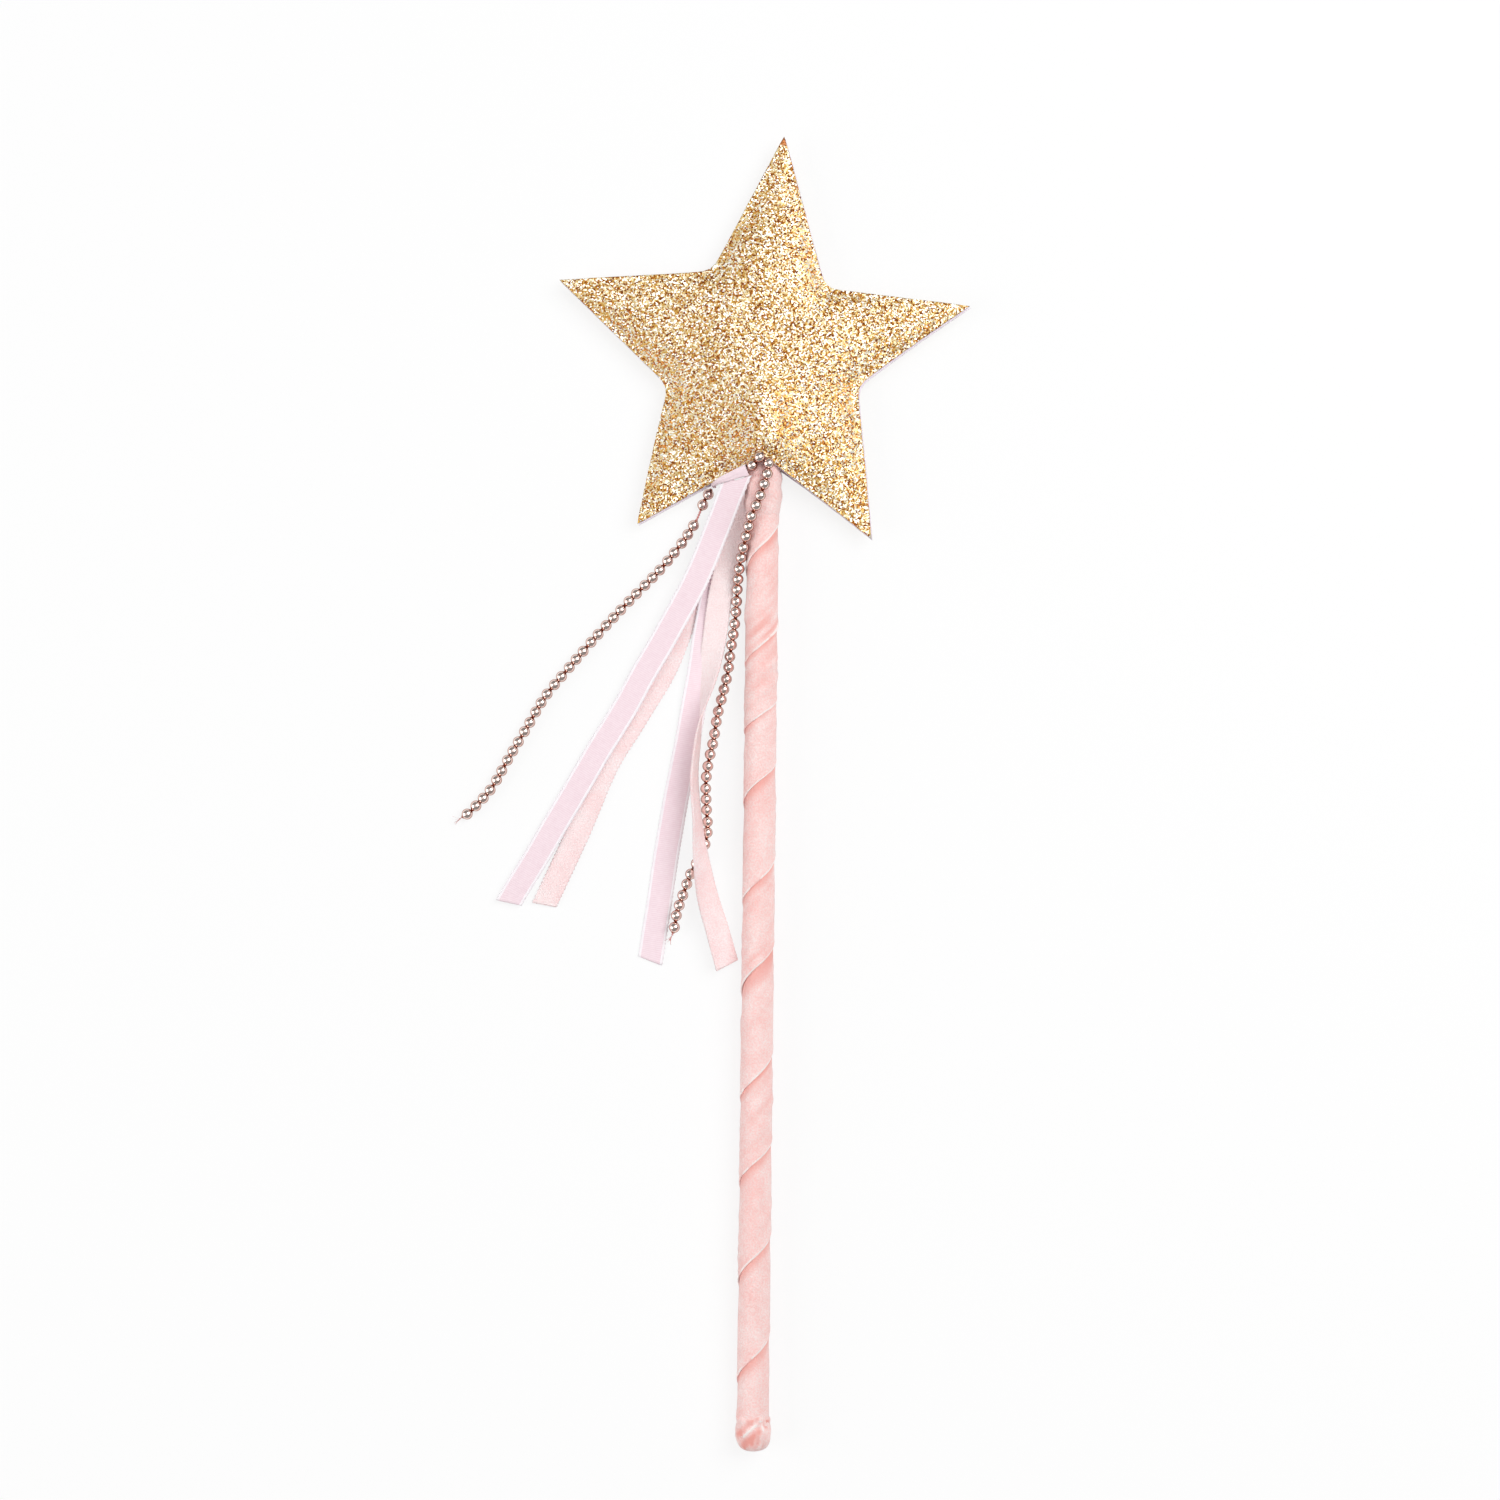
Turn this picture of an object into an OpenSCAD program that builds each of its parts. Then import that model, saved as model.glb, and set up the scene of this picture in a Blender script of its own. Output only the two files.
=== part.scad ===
// Toy magic wand: a padded fabric star on a velvet-wrapped stick, with ribbon and bead streamers.
// It lies on its back: the stick runs along Y, the star is at +Y and +Z faces up.

/* [Stick] */
// Diameter of the wooden dowel
dowel_d = 6.4; // [5:0.1:9]
// Length of the dowel
dowel_len = 323.5; // [260:0.5:380]
// How far the dowel reaches into the star
dowel_in_star = 26; // [18:1:28]

/* [Velvet wrap] */
// Thickness of the velvet ribbon on the stick
wrap_t = 0.5; // [0.4:0.05:0.7]
// Rise of the winding in one turn
wrap_pitch = 27; // [22:0.5:32]
// How far each turn laps over the turn below, along the stick
wrap_lap = 6; // [4:0.5:8]
// Gap between a turn and the one that it laps over
wrap_gap = 0.45; // [0.42:0.01:0.6]
// Length of the velvet folded over the bottom end of the stick
cap_len = 10.5; // [8:0.5:14]
// How far the folded velvet bulges past the winding
cap_bulge = 0.7; // [0.5:0.05:1]

/* [Star] */
// Mean distance from the star's middle to its tips
tip_r = 64; // [55:0.5:75]
// Mean distance from the star's middle to the corners between its arms
notch_r = 29.5; // [26:0.5:34]
// Thickness of one glitter fabric panel
panel_t = 0.8; // [0.6:0.1:1.2]
// Height of a panel's middle above the seam
crown_h = 3.9; // [3.8:0.1:6]
// Extra height of the tent over the stick at the star's mouth
tent_h = 4.4; // [4.2:0.1:6]
// Half-width of the tent over the stick
tent_w = 6.5; // [5.5:0.5:9]

/* [Streamers] */
// Width of the satin and velvet streamer ribbons
ribbon_w = 6.7; // [5:0.1:7]
// Thickness of the satin ribbon
satin_t = 0.4; // [0.2:0.05:0.5]
// Thickness of the velvet streamer ribbon
velvet_t = 0.8; // [0.4:0.05:0.9]
// Diameter of a bead
bead_d = 3; // [2:0.1:3.1]
// Distance from bead to bead along the thread
bead_pitch = 3.36; // [3.2:0.02:4]
// Diameter of the bead thread
thread_d = 0.8; // [0.4:0.05:0.9]

/* [Ties] */
// Width of the satin band round the stick
satin_band_w = 4.3; // [3:0.1:4.5]
// Width of the velvet band round the stick
velvet_band_w = 4.5; // [3:0.1:6]
// Distance from the star's mouth down to the satin band
tie_drop = 6.7; // [6.6:0.1:9]
// How far the ribbons' knot reaches out from the stick
knot_reach = 8.6; // [7:0.1:10]

/* [Fits] */
// Clearance between glued or wound pieces
fit = 0.05; // [0.03:0.01:0.1]
// Clearance between pieces that move against each other, and round soft pieces
free = 0.3; // [0.2:0.05:0.4]

/* [Hidden] */

GOLD = "#deb86e";
BLUSH = "#f8c9c2";
LILAC = "#f3dde8";
ROSE = "#b98272";
THREAD = "#e7a9a4";
TIMBER = "#d9b98c";
WADDING = "#f4f0ea";
GLUE = "#e9e2cf";

// Stick and winding, seen across the stick: the winding's turns start in against the dowel and end on the lap.
RINGS = 24;
dowel_r = dowel_d / 2;
wrap_in_r = dowel_r / cos(180 / RINGS) + fit;
wrap_low_r = wrap_in_r + wrap_t;
wrap_lap_r = wrap_low_r + wrap_gap;
wrap_r = wrap_lap_r + wrap_t;
cap_r = wrap_r + cap_bulge;
cap_t = 0.8;
cap_round = 2 * cap_t;
// The stick's axis is as high as the folded end needs to rest on a flat.
cap_flat = 0.4;
axis_z = cap_r - cap_flat;
dowel_y0 = cap_t + fit;
dowel_y1 = dowel_y0 + dowel_len;
mouth_y = dowel_y1 - dowel_in_star;
wrap_y0 = dowel_y0;
wrap_y1 = mouth_y - free;
wrap_width = wrap_pitch + wrap_lap;
// The band of velvet as [along the stick, radius], from its lower inner corner outwards and round.
wrap_joggle = 4;
wrap_tuck = 0.5;
wrap_section = [[0, wrap_lap_r], [0, wrap_r], [wrap_pitch - wrap_joggle, wrap_r],
                [wrap_pitch - wrap_tuck, wrap_low_r], [wrap_width, wrap_in_r], [2 * wrap_lap, wrap_in_r]];
// The winding starts below the stick's end and runs past the star's mouth, and both ends are cut square.
wrap_first = -ceil(wrap_width / wrap_pitch * RINGS);
wrap_last = ceil((wrap_y1 - wrap_y0) / wrap_pitch * RINGS);
wrap_start_angle = 200;
// The section as triangles, for the two ends of the winding.
WRAP_END = [[0, 1, 2], [0, 2, 5], [2, 3, 5], [3, 4, 5]];

// Star outline about the star's middle: five hand-cut tips and corners, each [angle error, radius error].
STAR_TURN = -5;
tip_cut = [[0.5, 2], [1.6, -0.7], [0.1, -1], [4.3, -1.4], [3, 1.5]];
notch_cut = [[-0.7, -2], [5.2, -0.4], [3.8, 0.2], [3.4, 0.7], [0, 0.7]];
function polar(r, a) = [r * cos(a), r * sin(a)];
star_corners = [for (i = [0:4]) each [
    polar(tip_r + tip_cut[i][1], 90 + STAR_TURN - 72 * i + tip_cut[i][0]),
    polar(notch_r + notch_cut[i][1], 55 + STAR_TURN - 72 * i + notch_cut[i][0])]];
mouth_r = -star_corners[5][1];
star_y = mouth_y + mouth_r;
EDGE_STEPS = 5;
function outline_at(n) = [for (c = [0:9]) for (k = [0:n - 1])
    star_corners[c] + (star_corners[(c + 1) % 10] - star_corners[c]) * k / n];
outline = outline_at(EDGE_STEPS);
// Rings of the panels, as shares of the outline. The seam lies flat between the first two.
PANEL_RINGS = [1, 0.95, 0.85, 0.7, 0.53, 0.35, 0.17];
FILL_RINGS = [0.86, 0.7, 0.5, 0.25];
SEAM = PANEL_RINGS[1];

// The whole wand is centred on its own length and width, without the streamers.
cx = (min([for (p = outline) p[0]]) + max([for (p = outline) p[0]])) / 2;
cy = (star_y + max([for (p = outline) p[1]])) / 2;

// Height of a panel's inner face over the seam plane, for a point on a ring of the outline.
function smooth(t) = let (u = min(1, max(0, t))) u * u * (3 - 2 * u);
function crown(s) = crown_h * max(0, 1 - pow(s / SEAM, 2));
function tent(p) = tent_h * exp(-pow(p[0] / tent_w, 2)) * smooth(-p[1] / mouth_r);
function front_in(p, s) = axis_z + crown(s) + tent(p);
// The back panel lies pressed flat on the floor where it would reach below it.
function back_out(p, s) = max(0, axis_z - crown(s) - tent(p) - panel_t);

// Ties, counted down the stick from the star's mouth.
satin_band_y = -tie_drop - satin_band_w;
velvet_band_y = satin_band_y - free - velvet_band_w;
band_in_r = wrap_r + fit;
knot_h = 6.2;
knot_z0 = 2.3;
loop_y = -tie_drop + free + thread_d / 2;
loop_r = band_in_r + thread_d / 2;

// Streamer routes from the star's mouth on the stick's axis: [x, y, z, roll].
satin_left_route = [[-11, -11.8, 7.7, 0], [-14.5, -23, 5.6, 0], [-18, -32.5, 4.6, 0], [-22, -41.5, 3.8, 0],
    [-28.5, -53.5, 2.8, 0], [-35, -65, 2.2, 0], [-43, -79.5, 1.8, 0], [-51.5, -94, 1.6, 0],
    [-57, -104, 1.5, 0], [-63, -114, 1.5, 0], [-69, -124.5, 1.5, 0], [-75, -135, 1.5, 0]];
velvet_left_route = [[-10, -11.8, 3.5, 0], [-13, -22, 1.6, 0], [-17, -33, 0.8, 0], [-20.5, -41.5, 0.5, 0],
    [-24.5, -53, 0.5, 0], [-29.5, -65, 0.5, 0], [-38, -79.5, 0.5, 0], [-46.5, -94, 0.5, 0],
    [-50.5, -104, 0.5, 0], [-54.5, -113.5, 0.5, 0], [-59.5, -124.5, 0.5, 0], [-64.5, -135.5, 0.5, 0]];
satin_middle_route = [[-9.5, -11.8, 5, 0], [-11, -22, 2.8, 0], [-12.7, -32, 2, 0], [-14.7, -41.5, 1.6, 0],
    [-16.7, -53, 1.5, 0], [-18.4, -65, 1.5, 0], [-21, -80, 1.4, 0], [-23.5, -94, 0.9, 0],
    [-25.2, -104, 0.4, 0], [-26.8, -113.5, 0.3, 0], [-29.5, -132, 0.3, 0], [-32.5, -152, 0.3, 0]];
velvet_right_route = [[-9, -11.8, 6.3, 0], [-10, -22, 4.2, 0], [-11, -32, 3.2, 0], [-12.5, -41.5, 2.8, 0],
    [-14, -53, 2.6, 0], [-15.7, -65, 2.7, 0], [-18.2, -80.5, 3.6, -25], [-19.6, -94, 4.5, -50],
    [-19.4, -101, 4.8, -45], [-18.5, -110, 5.2, -25], [-17.5, -119.5, 5.3, -5], [-15.3, -132.5, 5, 0],
    [-12.3, -142.5, 4.2, 0], [-9.3, -153, 3.4, 0]];
left_thread_route = [[-15.5, -9.8, 3.4], [-16.5, -11.5, 3.2], [-17.6, -13.4, 2.8], [-19.8, -19, 2],
    [-22, -22.7, 1.7], [-24, -25.8, 1.6], [-30.7, -34.2, 1.6], [-40.5, -44.4, 1.6], [-49.7, -54.5, 1.6],
    [-58.6, -65, 1.6], [-65, -73, 1.6], [-70.4, -82.4, 1.6], [-75.4, -91, 1.6], [-80.5, -100.2, 1.6],
    [-85, -105.5, 1.6], [-87.2, -107.8, 1.6], [-89.6, -109.4, 1.6]];
right_thread_route = [[1.6, -2.1, 12.1], [1.2, -5.6, 12.1], [0.3, -8.8, 12.1], [-0.8, -12, 12.1],
    [-2.1, -15.3, 11.9], [-3.5, -18.5, 10.9], [-5.2, -25.4, 9], [-6.6, -32, 6.5], [-7.3, -38, 4.6],
    [-7.6, -45, 3.3], [-8.2, -51.6, 2.7], [-9.2, -58.3, 2.4], [-10, -65, 2.4], [-11.5, -71.7, 2.4],
    [-13, -78, 2.4], [-14, -85, 2.4], [-15.4, -91.5, 2.4], [-16.2, -98, 2.4], [-16, -105, 2.4],
    [-15.6, -112.5, 2.4], [-17, -119, 2.4], [-20.2, -125, 2.4], [-22.4, -131, 2.4], [-24.4, -137, 2.4],
    [-24.9, -140.5, 2.4], [-25.8, -144, 2.4]];
tie_thread_route = [[-0.2, -1.1, 12.6], [-1.4, -2.1, 12.1], [-3.8, -4.1, 11], [-5.2, -5.3, 9.9], [-6.3, -5.9, 7.6],
    [-6.6, -5.9, 5.4], [-7.6, -5.9, 3.8], [-9, -5.8, 3.1], [-11.5, -5.6, 3], [-14, -7, 3.2], [-15, -9.4, 3.4]];
// Beads start this far along each thread and stop this far from its end. One bead on the left is lost.
BEAD_BORE = 0.7;
left_first = 1.9;
left_tail = 2;
left_lost = 2;
right_first = 0.2;
right_tail = 1.2;
tie_bead_stops = [1, 2];

// Points at the given lengths along a route, with the route's direction there.
function span(a, b) = norm([b[0] - a[0], b[1] - a[1], b[2] - a[2]]);
function xyz(p) = [p[0], p[1], p[2]];
function lengths(route, i = 1, sum = [0]) = i == len(route) ? sum :
    lengths(route, i + 1, concat(sum, [sum[i - 1] + span(route[i - 1], route[i])]));
function total(route) = lengths(route)[len(route) - 1];
function place(route, sums, s) = let (
    i = max([0, for (k = [0:len(route) - 2]) if (sums[k] <= s) k]),
    a = xyz(route[i]), b = xyz(route[i + 1]))
    [a + (b - a) * (s - sums[i]) / (sums[i + 1] - sums[i]), (b - a) / norm(b - a)];

// Frames along a route: direction, level side and upward normal, rolled about the direction.
function unit(v) = v / norm(v);
function direction(route, i) =
    unit(xyz(route[min(i + 1, len(route) - 1)]) - xyz(route[max(i - 1, 0)]));
function ring(route, section, i) = let (
    d = direction(route, i),
    side = unit(cross(d, [0, 0, 1])),
    up = cross(side, d),
    roll = len(route[i]) > 3 ? route[i][3] : 0)
    [for (q = section) xyz(route[i])
        + side * (q[0] * cos(roll) - q[1] * sin(roll))
        + up * (q[0] * sin(roll) + q[1] * cos(roll))];
function fan(n) = [for (k = [1:n - 2]) [0, k, k + 1]];
function skin(n, i) = [for (k = [0:n - 1]) let (a = i * n + k, b = i * n + (k + 1) % n)
    each [[a, a + n, b], [b, a + n, b + n]]];

// A closed skin over rings of points, with the caps given as triangles of one ring.
module skinned(rings, cap) {
    n = len(rings[0]);
    last = (len(rings) - 1) * n;
    polyhedron(
        points = [for (r = rings) each r],
        faces = concat(
            [for (i = [0:len(rings) - 2]) each skin(n, i)],
            [for (t = cap) [t[0], t[1], t[2]]],
            [for (t = cap) [last + t[2], last + t[1], last + t[0]]]));
}

// A section swept along a route from the star's mouth.
module swept(route, section) {
    at_mouth() skinned([for (i = [0:len(route) - 1]) ring(route, section, i)], fan(len(section)));
}

module centred() { translate([-cx, -cy, 0]) children(); }
module at_mouth() { centred() translate([0, mouth_y, 0]) children(); }
// Turns a profile of [radius, along the stick] round the stick's axis.
module turned(y) { centred() translate([0, y, axis_z]) rotate([-90, 0, 0]) rotate_extrude($fn = 64) children(); }
module above_floor() {
    intersection() {
        children();
        centred() translate([-tip_r * 2, -tip_r, 0]) cube([tip_r * 4, mouth_y + tip_r * 4, tip_r]);
    }
}

module dowel() {
    color(TIMBER) turned(dowel_y0) square([dowel_r, dowel_len]);
}

// One velvet band wound up the stick, each turn lapping over the one below.
function wrap_point(step, q) = let (a = wrap_start_angle + 360 * step / RINGS)
    [q[1] * sin(a), wrap_y0 + wrap_pitch * step / RINGS + q[0], axis_z + q[1] * cos(a)];
function wrap_ring(step) = [for (q = wrap_section) wrap_point(step, q)];
module velvet_wrap() {
    color(BLUSH) centred() intersection() {
        skinned([for (i = [wrap_first:wrap_last]) wrap_ring(i)], WRAP_END);
        translate([-2 * cap_r, wrap_y0, -cap_r]) cube([4 * cap_r, wrap_y1 - wrap_y0, 4 * cap_r]);
    }
}

// The least gap between a turn and the next, on points along both edges of the lap.
function along(a, b, n) = [for (k = [0:n]) a + (b - a) * k / n];
lap_under = concat(along(wrap_section[2], wrap_section[3], 8), along(wrap_section[3], wrap_section[4], 12));
lap_over = concat(along(wrap_section[1], wrap_section[0], 2), along(wrap_section[0], wrap_section[5], 24));
wrap_self_gap = min([for (q = lap_over) for (u = lap_under) for (k = [-2:2])
    norm(wrap_point(RINGS, q) - wrap_point(k, u))]);
echo(wrap_self_gap = wrap_self_gap);

module end_cap() {
    inner_r = wrap_r + fit;
    shoulder = 0.62 * cap_len;
    color(BLUSH) above_floor() turned(0) difference() {
        union() {
            translate([0, cap_round]) square([cap_r, shoulder - cap_round]);
            square([cap_r - cap_round, shoulder]);
            translate([cap_r - cap_round, cap_round]) circle(r = cap_round, $fn = 48);
            polygon([[0, shoulder], [cap_r, shoulder], [inner_r + cap_bulge / 2, cap_len], [0, cap_len]]);
        }
        translate([-1, cap_t]) square([inner_r + 1, cap_len]);
    }
}

// A shell between two heights over the rings of the outline.
function shell_ring(points, s, h) = [for (p = points) [p[0] * s, p[1] * s, h(p * s, s)]];
module star_shell(points, shares, top, bottom) {
    n = len(points);
    count = len(shares);
    upper = [for (s = shares) shell_ring(points, s, top)];
    lower = [for (s = shares) shell_ring(points, s, bottom)];
    middle = [0, 0];
    half = n * count;
    top_tip = 2 * half;
    polyhedron(
        points = concat([for (r = upper) each r], [for (r = lower) each r],
                        [[0, 0, top(middle, 0)], [0, 0, bottom(middle, 0)]]),
        faces = concat(
            [for (i = [0:count - 2]) each skin(n, i)],
            [for (i = [0:count - 2]) for (t = skin(n, i)) [half + t[2], half + t[1], half + t[0]]],
            [for (k = [0:n - 1]) let (a = half - n + k, b = half - n + (k + 1) % n)
                each [[a, top_tip, b], [half + b, top_tip + 1, half + a]]],
            [for (k = [0:n - 1]) let (b = (k + 1) % n) each [[k, b, half + k], [b, half + b, half + k]]]));
}
module at_star() { centred() translate([0, star_y, 0]) children(); }
// The panels are cut square at the mouth, just clear of the winding's end.
module mouth_cut() {
    deep = 2 * band_in_r;
    at_mouth() translate([-band_in_r, -deep - free + fit, -axis_z]) cube([2 * band_in_r, deep, 4 * axis_z]);
}

module star_front() {
    color(GOLD) difference() {
        at_star() star_shell(outline, PANEL_RINGS,
            function (p, s) front_in(p, s) + panel_t, function (p, s) front_in(p, s));
        mouth_cut();
    }
}

module star_back() {
    color(GOLD) difference() {
        at_star() star_shell(outline, PANEL_RINGS,
            function (p, s) back_out(p, s) + panel_t, function (p, s) back_out(p, s));
        mouth_cut();
    }
}

glue_len = 14;
glue_wall = 0.3;
glue_r = dowel_r + glue_wall;
module star_filling() {
    color(WADDING) difference() {
        at_star() star_shell(outline_at(3), FILL_RINGS,
            function (p, s) front_in(p, s) - free, function (p, s) back_out(p, s) + panel_t + free);
        turned(mouth_y - mouth_r) square([glue_r + free, mouth_r + dowel_in_star + free]);
    }
}

// Hot-melt glue round the top of the dowel, inside the star.
module glue_joint() {
    color(GLUE) turned(dowel_y1 - glue_len) difference() {
        square([glue_r, glue_len - fit]);
        translate([-1, -1]) square([dowel_r + 1 + fit / 2, glue_len + 2]);
    }
}

module band(y, w, t) {
    turned(mouth_y + y) translate([band_in_r, 0]) square([t, w]);
}

// The satin goes round the stick and is knotted beside it. All four tails leave below the knot.
module satin_tie() {
    knot_x = -band_in_r - knot_reach;
    color(LILAC) above_floor() union() {
        band(satin_band_y, satin_band_w, satin_t);
        difference() {
            at_mouth() translate([knot_x + satin_band_w / 2, satin_band_y, knot_z0]) union() {
                cube([knot_reach, satin_band_w, knot_h]);
                translate([0, satin_band_w / 2, 0]) cylinder(d = satin_band_w, h = knot_h, $fn = 48);
            }
            turned(mouth_y + satin_band_y - 1) square([band_in_r + satin_t / 2, satin_band_w + 2]);
        }
    }
}

module velvet_tie() {
    color(BLUSH) above_floor() band(velvet_band_y, velvet_band_w, velvet_t / 2);
}

module bead_tie_loop() {
    color(THREAD) above_floor() turned(mouth_y + loop_y) translate([loop_r, 0]) circle(d = thread_d, $fn = 24);
}

function strip(w, t) = [[-w / 2, -t / 2], [-w / 2, t / 2], [w / 2, t / 2], [w / 2, -t / 2]];
function round_section(d) = [for (k = [7:-1:0]) polar(d / 2, 45 * k)];

module satin_left() { color(LILAC) swept(satin_left_route, strip(ribbon_w, satin_t)); }
module satin_middle() { color(LILAC) swept(satin_middle_route, strip(ribbon_w, satin_t)); }
module velvet_left() { color(BLUSH) swept(velvet_left_route, strip(ribbon_w, velvet_t)); }
module velvet_right() { color(BLUSH) swept(velvet_right_route, strip(ribbon_w, velvet_t)); }

// A bead moulded round the thread, its bore along the thread.
module bead(at, d) {
    translate(at) rotate([0, acos(d[2]), atan2(d[1], d[0])]) difference() {
        sphere(d = bead_d, $fn = 32);
        cylinder(d = thread_d + BEAD_BORE, h = 2 * bead_d, center = true, $fn = 24);
    }
}
module beads(route, first, tail, lost = -1) {
    sums = lengths(route);
    count = floor((total(route) - tail - first) / bead_pitch);
    color(ROSE) at_mouth() for (k = [0:count]) if (k != lost) {
        spot = place(route, sums, first + k * bead_pitch);
        bead(spot[0], spot[1]);
    }
}

module bead_tie_thread() { color(THREAD) swept(tie_thread_route, round_section(thread_d)); }
module tie_beads() {
    color(ROSE) at_mouth() for (k = tie_bead_stops)
        bead(tie_thread_route[k], direction(tie_thread_route, k));
}
module bead_thread_left() { color(THREAD) swept(left_thread_route, round_section(thread_d)); }
module beads_left() { beads(left_thread_route, left_first, left_tail, left_lost); }
module bead_thread_right() { color(THREAD) swept(right_thread_route, round_section(thread_d)); }
module beads_right() { beads(right_thread_route, right_first, right_tail); }

dowel();
velvet_wrap();
end_cap();
star_front();
star_back();
star_filling();
glue_joint();
satin_tie();
velvet_tie();
bead_tie_loop();
bead_tie_thread();
tie_beads();
satin_left();
satin_middle();
velvet_left();
velvet_right();
bead_thread_left();
beads_left();
bead_thread_right();
beads_right();
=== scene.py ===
# %% [markdown]
# # Dressing a star wand
#
# The wand is a padded star of gold glitter fabric on a stick wound with blush velvet. Satin and velvet
# ribbons and a string of metallised beads are tied below the star. The solid parts come from a packed
# frame, and this lesson gives each of them the surface that the real wand has. Everything is in metres.

# %% Load the frame
import math
import random

import bmesh
import bpy
from mathutils import Matrix, Vector, noise


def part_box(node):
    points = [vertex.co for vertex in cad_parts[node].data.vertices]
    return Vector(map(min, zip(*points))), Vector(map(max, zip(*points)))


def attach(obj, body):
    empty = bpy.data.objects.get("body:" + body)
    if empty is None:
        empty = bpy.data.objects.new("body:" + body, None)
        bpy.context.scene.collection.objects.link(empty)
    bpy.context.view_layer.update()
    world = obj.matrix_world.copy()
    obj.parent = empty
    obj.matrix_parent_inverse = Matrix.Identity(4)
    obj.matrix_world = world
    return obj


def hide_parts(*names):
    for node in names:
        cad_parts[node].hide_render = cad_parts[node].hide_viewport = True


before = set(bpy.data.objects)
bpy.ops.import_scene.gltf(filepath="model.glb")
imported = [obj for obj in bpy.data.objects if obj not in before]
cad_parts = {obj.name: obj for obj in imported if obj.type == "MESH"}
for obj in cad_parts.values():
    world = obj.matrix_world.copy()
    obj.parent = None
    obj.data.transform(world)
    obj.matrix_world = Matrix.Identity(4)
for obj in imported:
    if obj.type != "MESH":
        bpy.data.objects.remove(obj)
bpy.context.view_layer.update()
MM = 0.001

# %% [markdown]
# ## Where things are
#
# A few places carry all the rest: the stick's axis, the bottom end, the star's mouth where the stick goes
# in, and the star's middle. They are read from the frame's boxes, so the looks follow the solids.

# %% Places on the wand
dowel_low, dowel_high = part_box("dowel")
wrap_low, wrap_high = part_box("velvet_wrap")
cap_low, cap_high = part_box("end_cap")
star_low, star_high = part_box("star_front")
AXIS_X = (dowel_low[0] + dowel_high[0]) / 2
AXIS_Z = (dowel_low[2] + dowel_high[2]) / 2
WRAP_R = (wrap_high[0] - wrap_low[0]) / 2
END_Y = cap_low[1]
MOUTH_Y = wrap_high[1] + 0.3 * MM
STAR_MIDDLE_Y = MOUTH_Y + 29.7 * MM
MOUTH = Vector((AXIS_X, MOUTH_Y, 0))
print("mouth at", [round(v / MM, 2) for v in MOUTH], "axis height", round(AXIS_Z / MM, 2))

# %% [markdown]
# ## Camera
#
# The wand was photographed lying flat, from straight above, with a long lens. The stick leans a little to
# the right at its top, so the camera is rolled by that lean and the wand itself stays square in its frame.

# %% Camera above the wand
PHOTO_WIDTH = 450 * MM
LENS = 100
SENSOR = 36
LEAN = math.radians(0.637)
VIEW_CENTRE = (-2.9 * MM, 13.3 * MM)
VIEW_LEVEL = 5 * MM
camera_data = bpy.data.cameras.new("camera")
camera_data.lens = LENS
camera_data.sensor_width = SENSOR
camera = bpy.data.objects.new("camera", camera_data)
bpy.context.collection.objects.link(camera)
camera.location = (*VIEW_CENTRE, VIEW_LEVEL + PHOTO_WIDTH * LENS / SENSOR)
camera.rotation_euler = (0, 0, LEAN)
bpy.context.scene.camera = camera
print("camera height", round(camera.location.z, 3))

# %% [markdown]
# ## Stage and light
#
# A white floor, one softbox high on the right towards the star, a weaker one low on the left and a weak one
# overhead that opens the shadows between the ribbons. Some of the floor's white is its own for the rays that
# the camera and the mirror beads send, so that the background is white without more light on the wand, and
# the floor keeps the wand's shadow.

# %% Floor
def shader_material(name):
    material = bpy.data.materials.new(name)
    material.use_nodes = True
    material.node_tree.nodes.clear()
    return material, material.node_tree


def add_node(tree, kind, **settings):
    node = tree.nodes.new(kind)
    for key, value in settings.items():
        setattr(node, key, value)
    return node


FLOOR_HALF = 6
FLOOR_DROP = 0.1 * MM
floor_material, tree = shader_material("white_floor")
paper = add_node(tree, "ShaderNodeBsdfDiffuse")
paper.inputs["Color"].default_value = (0.93, 0.93, 0.93, 1)
glow = add_node(tree, "ShaderNodeEmission")
glow.inputs["Color"].default_value = (1, 1, 1, 1)
path = add_node(tree, "ShaderNodeLightPath")
seen = add_node(tree, "ShaderNodeMath", operation="MAXIMUM")
seen_too = add_node(tree, "ShaderNodeMath", operation="MAXIMUM")
share = add_node(tree, "ShaderNodeMath", operation="MULTIPLY")
share.inputs[1].default_value = 0.82
mix = add_node(tree, "ShaderNodeMixShader")
output = add_node(tree, "ShaderNodeOutputMaterial")
tree.links.new(path.outputs["Is Camera Ray"], seen.inputs[0])
tree.links.new(path.outputs["Is Glossy Ray"], seen.inputs[1])
tree.links.new(seen.outputs[0], seen_too.inputs[0])
tree.links.new(path.outputs["Is Transmission Ray"], seen_too.inputs[1])
tree.links.new(seen_too.outputs[0], share.inputs[0])
tree.links.new(share.outputs[0], mix.inputs["Fac"])
tree.links.new(paper.outputs[0], mix.inputs[1])
tree.links.new(glow.outputs[0], mix.inputs[2])
tree.links.new(mix.outputs[0], output.inputs["Surface"])

floor_mesh = bpy.data.meshes.new("floor")
bm = bmesh.new()
bmesh.ops.create_grid(bm, x_segments=1, y_segments=1, size=FLOOR_HALF)
bmesh.ops.translate(bm, verts=bm.verts, vec=(0, 0, -FLOOR_DROP))
bm.to_mesh(floor_mesh)
bm.free()
floor = bpy.data.objects.new("floor", floor_mesh)
bpy.context.collection.objects.link(floor)
floor.data.materials.append(floor_material)
print("floor", 2 * FLOOR_HALF, "m wide")


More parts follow.
